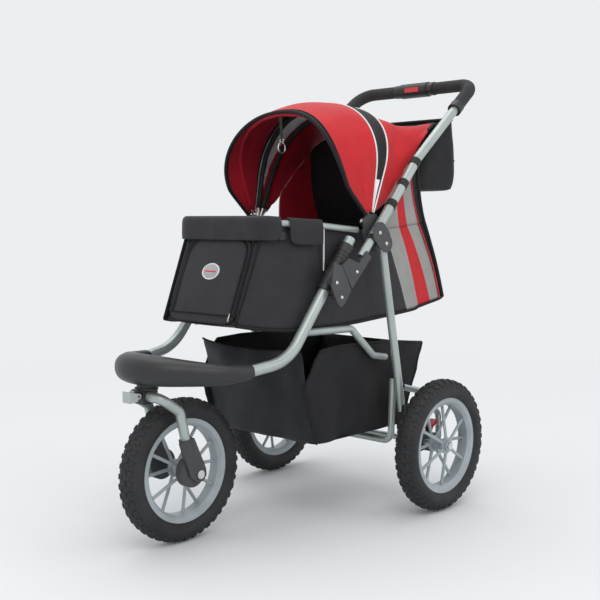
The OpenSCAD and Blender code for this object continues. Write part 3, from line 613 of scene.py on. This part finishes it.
WALL_STEPS, WALL_ROWS = 4, 14
STRIPES = {5: 1, 6: 2, 7: 1, 8: 3}
STRIPE_END = 8 * WALL_STEPS
for label, s in (("left", 1), ("right", -1)):
    rows = across_lines(SIDE, WALL_STEPS, WALL_ROWS, s)
    for j, row in enumerate(rows):
        for i, p in enumerate(row):
            belly = math.sin(math.pi * j / WALL_ROWS) * (2.5 if i > 22 else 0.0) / 1000
            row[i] = p + Vector((s * (belly + 0.0012 * noise.noise(p * 14) * (i > 1)), 0, 0))
    wall = sheet(f"cabin_wall_{label}", rows, ["black_cloth", "grey_cloth", "red_cloth", "deep_cloth"],
                 "frame", 0.0024, lambda j, i: STRIPES.get(i // WALL_STEPS, 0), side=-s)
    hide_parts(f"cabin_side_{label}")
    seam(f"wall_hem_{label}", [p + Vector((s * 0.001, 0, -0.001)) for p in rows[0]], 0.0034)
    seam(f"wall_edge_{label}", [row[-1] + Vector((s * 0.001, 0.002, 0)) for row in rows], 0.0050)
    seam(f"corner_seam_{label}", [row[0] + Vector((s * 0.001, -0.002, 0)) for row in rows], 0.0024)
    sweep(f"stripe_piping_{label}", [row[STRIPE_END] + Vector((s * 0.0026, 0, 0)) for row in rows], 0.0018,
          "red_piping", "frame", "red_cloth", 8)

# ---------------------------------------------------------------- cabin front and door
FOOT_Y, FOOT_Z, HEAD_Y, HEAD_Z = 55, 459, 136, 664
LEAN = math.atan2(HEAD_Y - FOOT_Y, HEAD_Z - FOOT_Z)


def on_front(x, up, out):
    """x across, up the slope from the floor, and out of the front, in millimetres."""
    return P(x, FOOT_Y + up * math.sin(LEAN) - out * math.cos(LEAN),
             FOOT_Z + up * math.cos(LEAN) + out * math.sin(LEAN))


# the front cloth runs from the doorway out to its own edges
FRONT_HALF, FRONT_MIDDLE = 111, 110
DOORWAY_HALF, DOORWAY_SILL, DOORWAY_CORNER, DOORWAY_TOP = 83, 22, 28, 176
corner_x, corner_up = DOORWAY_HALF - DOORWAY_CORNER, DOORWAY_TOP - DOORWAY_CORNER
doorway = [(-DOORWAY_HALF, up) for up in (DOORWAY_SILL, 60, 100, 140)]
doorway += [(-corner_x - DOORWAY_CORNER * math.cos(k * math.pi / 12),
             corner_up + DOORWAY_CORNER * math.sin(k * math.pi / 12)) for k in range(7)]
doorway += [(-28, DOORWAY_TOP), (0, DOORWAY_TOP)]
doorway += [(-x, up) for x, up in doorway[-2::-1]] + [(x, DOORWAY_SILL) for x in (42, 0, -42)]
rows = [[], [], []]
for x, up in doorway:
    reach = 1 / max(abs(x / FRONT_HALF), abs((up - FRONT_MIDDLE) / FRONT_MIDDLE))
    edge = (x * reach, FRONT_MIDDLE + (up - FRONT_MIDDLE) * reach)
    for row, k in zip(rows, (0, 0.5, 1)):
        row.append(on_front(mix(x, edge[0], k), mix(up, edge[1], k), -2.0))
front = sheet("cabin_front_cloth", rows, "black_cloth", "frame", 0.0022, closed=True)
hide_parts("cabin_front")


DOOR_HALF, DOOR_TOP, DOOR_CORNER = 91, 184, 36


def door_half(up):
    """Half the door's width at a height up the slope, with rounded upper corners."""
    over = up - (DOOR_TOP - DOOR_CORNER)
    if over <= 0:
        return DOOR_HALF
    return DOOR_HALF - DOOR_CORNER + math.sqrt(max(0, DOOR_CORNER ** 2 - over ** 2))


def door_point(u, up):
    """A point on the crowned door, u from -1 to 1 across."""
    crown = 3.4 * (1 - u * u) ** 0.7 * math.sin(math.pi * min(1, max(0, (up - 18) / 165))) ** 0.6
    return on_front(door_half(up) * u, up, 1.0 + crown)


ups = [19, 26, 40, 56, 72, 88, 104, 120, 134, 148, 158, 166, 173, 178.5, 182, 183.6]
rows = [[door_point(u / 10, up) for u in range(-10, 11)] for up in ups]
door = sheet("door_cloth", rows, "black_cloth", "door", 0.0022)
wrinkle(door, 16, 0.0012, 3)
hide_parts("front_door")


def round_door(heights, beside, above, out):
    """A line up one side of the door, over its top and down the other side, at a distance from its edge."""
    return curve([on_front(s * (door_half(up) + beside), up + (above if up > 150 else 0), out)
                  for s, run in ((-1, heights), (1, heights[::-1])) for up in run], 3)


seam("door_piping", round_door(ups, 0, 0, 2.0), 0.0026, "door")
seam("door_zip_tape", round_door(ups, 7, 7, 1.0), 0.0042, flat=0.4, normal=(0, -1, 0.4))
seam("door_zip_seam", round_door(ups[:-3], 13, 12, 0.2), 0.0017)
pull = [on_front(92, 24, 3.5), on_front(93, 15, 5.5), on_front(93, 5, 5)]
sweep("zip_pull", pull, 0.0018, "steel", "frame", "steel", 8)


BADGE_UP = 112


def badge_ring(k, lift):
    """An oval k times the badge's size."""
    return [on_front(25 * k * math.cos(a), BADGE_UP + 17 * k * math.sin(a), 4.6 + lift)
            for a in [j * math.pi / 24 for j in range(48)]]


sweep("door_badge_ring", badge_ring(1, 0.6), 0.0017, "piping", "door", "red_plastic", 8, closed=True)
dome = [badge_ring(k, h) for k, h in ((1.0, 0.2), (0.8, 0.8), (0.5, 1.0), (0.2, 1.1), (0.02, 1.1))]
sheet("door_badge", dome, "badge", "door", 0.001, closed=True, levels=0)
band = [[on_front(x, BADGE_UP + y, 6.0) for x in (-17, -10, -3, 4, 11, 17)] for y in (-1.8, 1.8)]
sheet("door_badge_band", band, "red_plastic", "door", 0.0006, levels=0)

# ---------------------------------------------------------------- cabin back, underside, mat
rows = []
for j in range(13):
    t = j / 12
    p = three(P(0, 704, 482), P(0, 667, 574), P(0, 624, 666), t)
    rows.append([p + Vector((0.1655 * u / 10, 0.004 * (1 - (u / 10) ** 2) * math.sin(math.pi * t), 0))
                 for u in range(-10, 11)])
back = sheet("cabin_back_cloth", rows, "deep_cloth", "frame", 0.0024)
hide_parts("cabin_back")
# y, z and half width of the cabin's underside, from the front to the rear
under = [(58, 459, 108), (100, 452, 134), (152, 447, 161), (260, 444, 166), (400, 446, 167), (520, 452, 167),
         (610, 466, 167), (702, 482, 165)]
mids = curve([P(0, y, z) for y, z, h in under], 3)
halves = curve([(h / 1000, 0, 0) for y, z, h in under], 3)
rows = [[p + Vector((h[0] * u / 10, 0, -0.004 * (1 - (u / 10) ** 2))) for u in range(-10, 11)]
        for p, h in zip(mids, halves)]
sheet("cabin_underside", rows, "black_cloth", "frame", 0.0024)


def puff(o, voxel, pressure, cap):
    """Swells a closed pad as stuffed cloth, and keeps every point within cap of where it was."""
    m = o.modifiers.new("voxels", "REMESH")
    m.mode = "VOXEL"
    m.voxel_size = voxel
    applied(o)
    start = [v.co.copy() for v in o.data.vertices]
    c = o.modifiers.new("cloth", "CLOTH")
    c.settings.use_pressure = True
    c.settings.uniform_pressure_force = pressure
    c.settings.effector_weights.gravity = 0
    c.settings.quality = 4
    for f in range(1, 21):
        scene.frame_set(f)
    applied(o)
    scene.frame_set(1)
    for v, s in zip(o.data.vertices, start):
        d = v.co - s
        if d.length > cap:
            v.co = s + d.normalized() * cap
    m = o.modifiers.new("smooth", "SMOOTH")
    m.iterations = 3
    m = o.modifiers.new("round", "SUBSURF")
    m.levels = m.render_levels = 1
    return applied(o)


MAT_FLOOR, MAT_THICK = 467.5, 0.009
plan = [(92, 88), (140, 150), (146, 300), (146, 500), (-146, 500), (-146, 300), (-140, 150), (-92, 88)]
bm = bmesh.new()
bottom = bm.faces.new([bm.verts.new(P(x, y, MAT_FLOOR)) for x, y in plan])
raised = bmesh.ops.extrude_face_region(bm, geom=[bottom])["geom"]
bmesh.ops.translate(bm, vec=(0, 0, MAT_THICK),
                    verts=[v for v in raised if isinstance(v, bmesh.types.BMVert)])
bmesh.ops.recalc_face_normals(bm, faces=bm.faces)
me = bpy.data.meshes.new("mat_pad")
bm.to_mesh(me)
bm.free()
pad = bpy.data.objects.new("mat_pad", me)
scene.collection.objects.link(pad)
puff(pad, 0.006, 4.0, 0.005)
pad.data.materials.append(M["black_cloth"])
for p in pad.data.polygons:
    p.use_smooth = True
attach(pad, "frame")
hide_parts("cabin_mat")

# ---------------------------------------------------------------- flaps over the rail


def flap(name, keys, drop, corner):
    """Cloth folded over the rail along a line of points."""
    n = 40
    line = even(curve([P(*k) for k in keys], 8), n + 1)
    width = sum((b - a).length for a, b in zip(line, line[1:])) * 1000
    profile = [(-9.4, 1.5), (-9.2, 5), (-6.2, 9.6), (0, 11.6), (6.6, 9.4), (10, 3), (11, -6), (11.2, -16),
               (11, -0.7 * drop), (10.4, -drop)]
    rows = []
    for q in curve([(x, z, 0) for x, z in profile], 2):
        row = []
        for i, p in enumerate(line):
            along = (line[min(i + 1, n)] - line[max(i - 1, 0)]).normalized()
            out = along.cross(Vector((0, 0, 1))).normalized()
            if out.y > 0:
                out = -out
            from_end = min(i, n - i) / n * width
            lift = corner - math.sqrt(max(0, corner ** 2 - (corner - min(corner, from_end)) ** 2))
            z = q[1] + lift * max(0, min(1, -q[1] / drop)) ** 1.5
            fat = 1 + 0.10 * noise.noise(Vector((p.x * 30, q[1] * 0.05, len(name))))
            row.append(p + out * (q[0] * fat / 1000) + Vector((0, 0, z / 1000)))
        rows.append(row)
    o = sheet(name, rows, "black_cloth", "frame", 0.0036)
    hem = [p + Vector((0, -0.0006, 0.004)) for p in rows[-1][1:-1]]
    seam(name + "_hem", hem, 0.0011, sides=6)
    return o


front_rail = [(50, 127, 670), (108, 127, 670), (127, 137, 670), (137, 161, 668)]
side_rail = [(144.5, 180, 666), (158, 215, 663.5), (172, 251, 661.5)]
front_flap = flap("flap_front", [(-x, y, z) for x, y, z in front_rail[::-1]] + front_rail, 38, 14)
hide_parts("top_flaps")
flap("flap_left", side_rail, 42, 16)
flap("flap_right", [(-x, y, z) for x, y, z in side_rail], 42, 16)
for s in (1, -1):
    turn_it = Matrix.Translation(P(s * 138.5, 165, 641)) @ Matrix.Rotation(math.radians(s * 68), 4, "Z")
    b = bevelled(f"buckle_{s + 1}", (-0.0125, -0.0034, -0.0078), (0.0125, 0.0034, 0.0078), 0.002, "moulding",
                 "frame", turn_it)
    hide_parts("buckles")
    bevelled(f"buckle_tongue_{s + 1}", (-0.006, -0.005, -0.0095), (0.006, 0.0022, 0.0092), 0.0015, "moulding",
             "frame", turn_it)
    bevelled(f"buckle_strap_{s + 1}", (-0.008, -0.002, 0.006), (0.008, 0.0005, 0.030), 0.0005, "webbing",
             "frame", turn_it)

# ---------------------------------------------------------------- canopy


def flare(r, lean):
    """Degrees by which the lower part of the front edge reaches forward of the front bow."""
    return 25 * max(0, min(1, (lean - 4) / 14)) * max(0, min(1, (264 - r) / 157))


def bow_point(half, top, a):
    """x and r on a bow's outline: a runs from -20 at its foot, 0 at its shoulder, to 90 at its top."""
    if a < 0:
        return half, CLOTH_LOW + (top * SHOULDER - CLOTH_LOW) * (1 + a / 20)
    a = math.radians(a)
    return half * math.cos(a) ** 0.9, top * (SHOULDER + (1 - SHOULDER) * math.sin(a) ** 0.95)


HALF_RING = 28
TOP_ANGLE = 89.9999


def canopy_ring(lean, out, dip=0.0):
    """Points over the canopy from side to side, out from the bows, sagging by dip between them."""
    row = []
    for i in range(-HALF_RING, HALF_RING + 1):
        a = 90 - abs(i) * 110 / HALF_RING
        x, r = bow_point(BOW_HALF + out, canopy_top(lean) + out, min(a, TOP_ANGLE))
        loose = dip * math.sin(math.pi * (1 - abs(i) / HALF_RING) ** 0.8)
        x, r = x * (1 - loose / 260), r - loose
        row.append(on_bow(math.copysign(x, i) if i else 0, r, lean + flare(r, lean)))
    return row


# lean of each ring of the cloth, and how far the cloth sags there, in millimetres
SAG = {22: 0, 21: 0, 19.6: 0.2, 16: 1.4, 12: 2.6, 8: 3.2, 4: 3.4, 0: 2.6, -3: 1.6, -6: 0.6, -9: 0,
       -10.6: 0.3, -12.5: 1.4, -15.5: 2.2, -18.5: 1.4, -20.4: 0.3, -22: 0}
rows = []
for lean, sag in SAG.items():
    k = sag / max(SAG.values())
    row = canopy_ring(lean, 4.6, sag)
    rows.append([p + Vector((noise.noise(p * 17), 0, noise.noise(p * 17 + Vector((5, 0, 0))))) * 0.004 * k
                 for p in row])
# binding, front segment, tape, rear segment, mesh foot: seen from outside and from inside
OUTER = ["deep_cloth", "red_cloth", "red_cloth", "deep_cloth", "mesh"]
INNER = ["deep_cloth", "lining", "webbing", "mesh", "mesh"]
BINDING, FRONT, TAPE, BAND, FOOT = range(5)


def canopy_colour(j, i):
    if j < 2:
        return BINDING
    if j < 9:
        return FRONT
    if j == 9:
        return TAPE
    if j < 14 and min(i, 2 * HALF_RING - 1 - i) < 4:
        return FOOT
    return BAND


canopy = sheet("canopy_cloth", rows, OUTER + INNER, None, 0.0020, canopy_colour)
outward(canopy, (0, 0, 1))
canopy.modifiers["thick"].material_offset = len(OUTER)
applied(canopy)
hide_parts("canopy_cover")
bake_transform(canopy)


def canopy_seam(name, lean, r, mat, slot, out, body=None):
    """Piping or binding along one ring; with no body of its own its transform is baked in, as the cloth's is.
    """
    o = sweep(name, curve(canopy_ring(lean, out), 2), r, mat, body, slot, 8)
    if not body:
        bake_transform(o)


canopy_seam("canopy_binding", 21.6, 0.0044, "deep_cloth", "black_cloth", 4.8, "canopy_front")
canopy_seam("canopy_piping_front", MID + 0.2, 0.0019, "piping", "red_cloth", 6.0)
canopy_seam("canopy_piping_rear", REAR, 0.0019, "piping", "red_cloth", 6.0)
canopy_seam("canopy_tape_front", 19.3, 0.0013, "deep_cloth", "black_cloth", 5.6)


def wire_line(half, top, lean):
    """The line of a bow: short straights with rounded corners."""
    keys = [(half, CLOTH_LOW)]
    for i in range(6):
        keys.append(bow_point(half, top, min(i * 18, TOP_ANGLE)))
    keys += [(-x, r) for x, r in keys[-2::-1]]
    line = []
    for (x0, r0), (x1, r1) in zip(keys, keys[1:]):
        for t in (0.14, 0.38, 0.62, 0.86):
            line.append(on_bow(mix(x0, x1, t), mix(r0, r1, t), lean))
    return line


sweep("bow_sleeve_middle", wire_line(175, MID_TOP, MID), 0.0062, "webbing", "canopy_middle", "webbing", 10)
sweep("bow_sleeve_rear", wire_line(168, REAR_TOP, REAR), 0.0062, "webbing", "frame", "webbing", 10)
sweep("bow_sleeve_front", wire_line(BOW_HALF, FRONT_TOP, TIP), 0.0052, "lining", "canopy_front", "red_cloth",
      10)

# ---------------------------------------------------------------- rear roof and hood


# foot, side, edge and middle of the roof, each x, y, z, from the rear bow to the bag
ROOF = [
    ((177, 462, 712), (172, 478, 800), (140, 541, 893), (0, 536, 908)),
    ((177, 505, 758), (170, 520, 822), (140, 573, 888), (0, 571, 896)),
    ((176, 545, 798), (168, 560, 842), (140, 612, 889), (0, 612, 892)),
    ((174, 590, 840), (166, 604, 862), (140, 655, 895), (0, 657, 894)),
    ((170, 640, 884), (162, 652, 890), (140, 700, 904), (0, 703, 903)),
]
ROOF_POINTS = 49
shapes = [even(canopy_ring(REAR, 4.4), ROOF_POINTS)]
for foot, side, edge, crest in ROOF:
    between = P(70, (edge[1] + crest[1]) / 2, (edge[2] + crest[2]) / 2 + 1)
    half = [P(*foot), P(*side), P(*edge), between]
    mirror = [Vector((-p.x, p.y, p.z)) for p in half]
    shapes.append(even(curve(mirror + [P(*crest)] + half[::-1], 8), ROOF_POINTS))
columns = [curve([shape[i] for shape in shapes], 3) for i in range(ROOF_POINTS)]
rows = [[c[j] + Vector((0, 0, noise.noise(c[j] * 15) * 0.0045)) * min(1, j / 3) for c in columns]
        for j in range(len(columns[0]))]
roof = sheet("roof_cloth", rows, ["red_cloth", "lining"], None, 0.0022)
outward(roof, (0, 0, 1))
roof.modifiers["thick"].material_offset = 1
applied(roof)
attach(roof, "frame")
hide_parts("roof_flap")
roof_hem = seam("roof_hem", rows[-1], 0.0032)

# stripe panel above the rail, in the same kind of lines as the wall below it, and the hood's black back
UPPER = [
    ((167.5, 473, 653), (169.6, 477, 724), (170, 495, 752)),
    ((168, 529, 656), (169.6, 515, 735), (170, 524, 783)),
    ((168, 559, 659), (169.6, 540, 742), (170, 548, 805)),
    ((168, 601, 664), (169.6, 574, 746), (170, 568, 822)),
    ((166, 625, 668), (168, 600, 744), (168, 592, 846)),
]
PIPED_LINE = 3 * WALL_STEPS
uppers = []
for label, s in (("left", 1), ("right", -1)):
    rows = across_lines(UPPER, WALL_STEPS, 12, s)
    for row in rows:
        for i, p in enumerate(row):
            row[i] = p + Vector((s * noise.noise(p * 16) * 0.002, 0, 0))
    wall = sheet(f"hood_side_{label}", rows, ["grey_cloth", "red_cloth", "deep_cloth"] + ["lining"] * 3,
                 None, 0.0024, lambda j, i: (0, 1, 0, 2)[i // WALL_STEPS])
    outward(wall, (s, 0, 0))
    wall.modifiers["thick"].material_offset = 3
    applied(wall)
    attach(wall, "frame")
    uppers.append(wall)
    piped = [row[PIPED_LINE] + Vector((s * 0.0024, 0, 0)) for row in rows]
    uppers.append(sweep(f"hood_piping_{label}", piped, 0.0018, "red_piping", "frame", "red_cloth", 8))
    rear_edge = [row[-1] + Vector((s * 0.001, 0.002, 0)) for row in rows]
    uppers.append(seam(f"hood_edge_{label}", rear_edge, 0.0050))
rows = []
for j in range(17):
    t = min(1, j / 12)
    p = three(P(0, 624, 664), P(0, 598, 742), P(0, 590, 842), t)
    k = max(0, (j - 12) / 4)
    p += Vector((0, 0.014 * k, 0.048 * math.sin(k * math.pi / 2)))
    half = 0.167 - 0.030 * (1 - math.cos(k * math.pi / 2))
    rows.append([p + Vector((half * u / 12, 0.003 * (1 - (u / 12) ** 2), -0.030 * k * abs(u / 12) ** 6))
                 for u in range(-12, 13)])
hood_back = sheet("hood_back", rows, "deep_cloth", None, 0.0024)
applied(hood_back)
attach(hood_back, "frame")
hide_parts("rear_hood")
zip_line = [rows[j][i] + Vector((0, 0.0025, 0)) for j, i in
            ((2, 4), (6, 4), (10, 5), (12, 7), (12, 12), (12, 17), (10, 19), (6, 20), (2, 20))]
hood_zip = seam("hood_zip", curve(zip_line, 4), 0.003)
# the hood's and the roof's pieces each get a mesh of their own
for piece in [hood_back, hood_zip] + uppers:
    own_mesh(piece)
for piece in (roof, roof_hem):
    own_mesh(piece)

# ---------------------------------------------------------------- bag
# front (y, z), rear (y, z), half width and corner radius, from the floor to the rim
sections = [
    ((640, 742), (745, 744), 118, 30),
    ((612, 743), (772, 746), 148, 34),
    ((602, 750), (781, 754), 157, 34),
    ((604, 775), (784, 780), 160, 32),
    ((622, 815), (784, 818), 160, 32),
    ((645, 850), (780, 852), 160, 30),
    ((668, 884), (772, 888), 160, 28),
    ((688, 901), (766, 921), 160, 24),
]


BAG_POINTS = 64


def bag_ring(front, rear, half, corner):
    """A rounded rectangle that slopes from its front edge to its rear edge."""
    yf, zf = front
    yr, zr = rear
    corner = min(corner, (yr - yf) / 2 - 1)
    box = []
    for start, sx, sy in ((0, 1, 1), (90, -1, 1), (180, -1, -1), (270, 1, -1)):
        for k in range(7):
            a = math.radians(start + k * 15)
            cx = sx * (half - corner)
            cy = (yr - corner) if sy > 0 else (yf + corner)
            box.append((cx + corner * math.cos(a), cy + corner * math.sin(a)))
    box.append(box[0])
    points = [P(x, y, zf + (zr - zf) * ((y - yf) / (yr - yf))) for x, y in box]
    return even(points, BAG_POINTS + 1)[:-1]


rings = [bag_ring(*s) for s in sections]
cols = [curve([r[i] for r in rings], 3) for i in range(BAG_POINTS)]
rows = [[c[j] for c in cols] for j in range(len(cols[0]))]
for j, row in enumerate(rows):
    for i, p in enumerate(row):
        bulge = math.sin(math.pi * j / (len(rows) - 1))
        k = noise.noise(p * 13) * 0.004 * bulge
        row[i] = p + Vector((math.copysign(k, p.x) if abs(p.x) > 0.12 else 0, k * 0.5, 0))
foot_row, seam_row = rows[5], rows[12]
middle_point = sum(rows[0], Vector()) / BAG_POINTS
rows = [[middle_point + (p - middle_point) * k for p in rows[0]] for k in (0.02, 0.35, 0.7)] + rows
bag = sheet("bag_cloth", rows, "deep_cloth", "handle", 0.0030, closed=True)
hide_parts("rear_bag")
seam("bag_hem", rows[-1], 0.0042, "handle", closed=True)
seam("bag_seam", [p + Vector((0, 0.0012 if p.y > 0.35 else -0.001, 0)) for p in seam_row], 0.0022, "handle",
     closed=True)
seam("bag_foot", foot_row, 0.0022, "handle", closed=True)

# ---------------------------------------------------------------- basket
BASKET_FLOOR = 189
SIDE_TOP = [(0, 318), (0.042, 340), (0.083, 374), (0.125, 392), (0.3, 396), (0.7, 390), (1, 376)]
front_rows = []
for j in range(15):
    t = j / 14
    half = mix(163, 165, t) - 7 * (1 - t) ** 3
    row = []
    for k in range(25):
        u = k / 12 - 1
        y = three(200, 214, 240, t) - 5 * (1 - u * u) * math.sin(math.pi * t)
        z = three(398, 300, BASKET_FLOOR, t) - 12 * (1 - u * u) * (1 - t) ** 2
        y += abs(u) ** 8 * 10
        crease = noise.noise(Vector((u * 2.2, t * 3, 1.5))) * 0.012
        row.append(P(half * u, y, z) + Vector((0, crease, 0)))
    front_rows.append(row)
basket = sheet("basket_front", front_rows, "navy_cloth", "frame", 0.0022)
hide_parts("basket")
seam("basket_front_hem", [p + Vector((0, -0.001, 0)) for p in front_rows[0]], 0.0028)
for label, s in (("left", 1), ("right", -1)):
    rows = []
    for j in range(13):
        t = j / 12
        row = []
        for k in range(25):
            v = k / 24
            x = mix(163, 164.5, t) - 6 * math.sin(math.pi * v) * math.sin(math.pi * t)
            y = mix(mix(206, 626, v), mix(244, 545, v), t)
            z = mix(at(SIDE_TOP, v), BASKET_FLOOR, t)
            crease = noise.noise(Vector((v * 5, t * 4, 4 + s))) * 0.010
            row.append(P(s * x, y, z) + Vector((s * crease, 0, 0)))
        rows.append(row)
    sheet(f"basket_side_{label}", rows, "deep_cloth", "frame", 0.0022)
    seam(f"basket_side_hem_{label}", rows[0], 0.0030)
    seam(f"basket_seam_{label}", [r[0] + Vector((s * 0.0015, -0.001, 0)) for r in rows], 0.0026)
    seam(f"basket_rear_seam_{label}", [r[-1] + Vector((s * 0.001, 0.001, 0)) for r in rows], 0.0026)
rows = [[P(163.5 * u / 10, mix(626, 545, t), mix(373, BASKET_FLOOR, t))
         + Vector((0, 0.004 * math.sin(math.pi * t) * (1 - (u / 10) ** 2), 0)) for u in range(-10, 11)]
        for t in [j / 10 for j in range(11)]]
sheet("basket_rear", rows, "deep_cloth", "frame", 0.0022)
rows = [[P(164 * u / 10, mix(240, 545, t), 189.5)
         + Vector((0, 0, -0.002 * math.sin(math.pi * t) * (1 - (u / 10) ** 2))) for u in range(-10, 11)]
        for t in [j / 10 for j in range(11)]]
sheet("basket_floor", rows, "deep_cloth", "frame", 0.0024)
